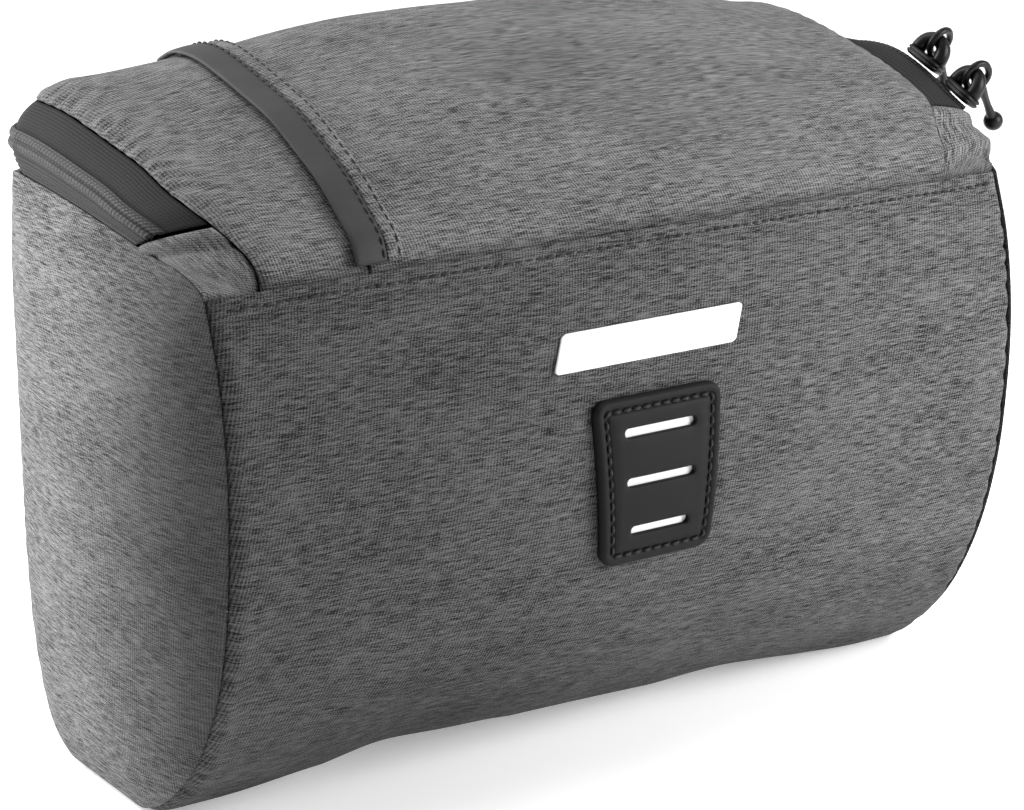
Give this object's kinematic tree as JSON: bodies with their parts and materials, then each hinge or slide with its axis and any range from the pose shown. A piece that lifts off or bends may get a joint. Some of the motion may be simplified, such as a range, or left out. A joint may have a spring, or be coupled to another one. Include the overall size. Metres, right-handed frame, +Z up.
{
  "type": "handlebar bag",
  "caption": "Padded cloth bag with domed ends, an arched zipped lid, a slotted patch for a light and two loops that hold it on a handlebar.",
  "frame": {"origin": "middle of the bounding box's underside, on the surface that the bag stands on", "axes": "+X along the bag to its right end as seen from the front, -Y out of the front with the label, +Z up"},
  "size_m": [0.2704, 0.1524, 0.182],
  "materials": {
    "heather": "dark grey heather twill, matt",
    "end_heather": "mid grey heather twill, matt",
    "smooth_band": "smooth dark grey coated strap",
    "zip_tape": "dark grey woven tape",
    "zip_coil": "black nylon coil",
    "black_metal": "satin black",
    "reflective": "pale reflective cloth",
    "rubber": "matt black rubber",
    "webbing": "black webbing"
  },
  "bodies": {
    "bag": {"front_panel": "heather", "back_panel": "heather", "end_panel_left": "end_heather", "end_panel_right": "end_heather", "lid_panel_left": "heather", "lid_panel_right": "heather", "lid_band": "smooth_band", "lid_placket": "heather", "zip_tape_lower": "zip_tape", "zip_tape_upper": "zip_tape", "zip_coil": "zip_coil", "zip_tab_left": "heather", "zip_tab_right": "heather", "label": "reflective", "light_patch": "rubber", "patch_insert": "reflective", "zip_slider_front": "black_metal", "zip_slider_back": "black_metal", "bar_strap_left": "webbing", "bar_strap_right": "webbing"},
    "pull_front": {"zip_pull_front": "black_metal"},
    "pull_back": {"zip_pull_back": "black_metal"}
  },
  "joints": [
    {"name": "pull_front_swing", "type": "hinge", "parent": "bag", "child": "pull_front", "pos_m": [0.12023, -0.03909, 0.15901], "axis": [-0.0404, -0.9207, -0.3881], "range_deg": [0, 85]},
    {"name": "pull_back_swing", "type": "hinge", "parent": "bag", "child": "pull_back", "pos_m": [0.11894, -0.02553, 0.16611], "axis": [0.1567, -0.8817, -0.445], "range_deg": [0, 85]}
  ]
}
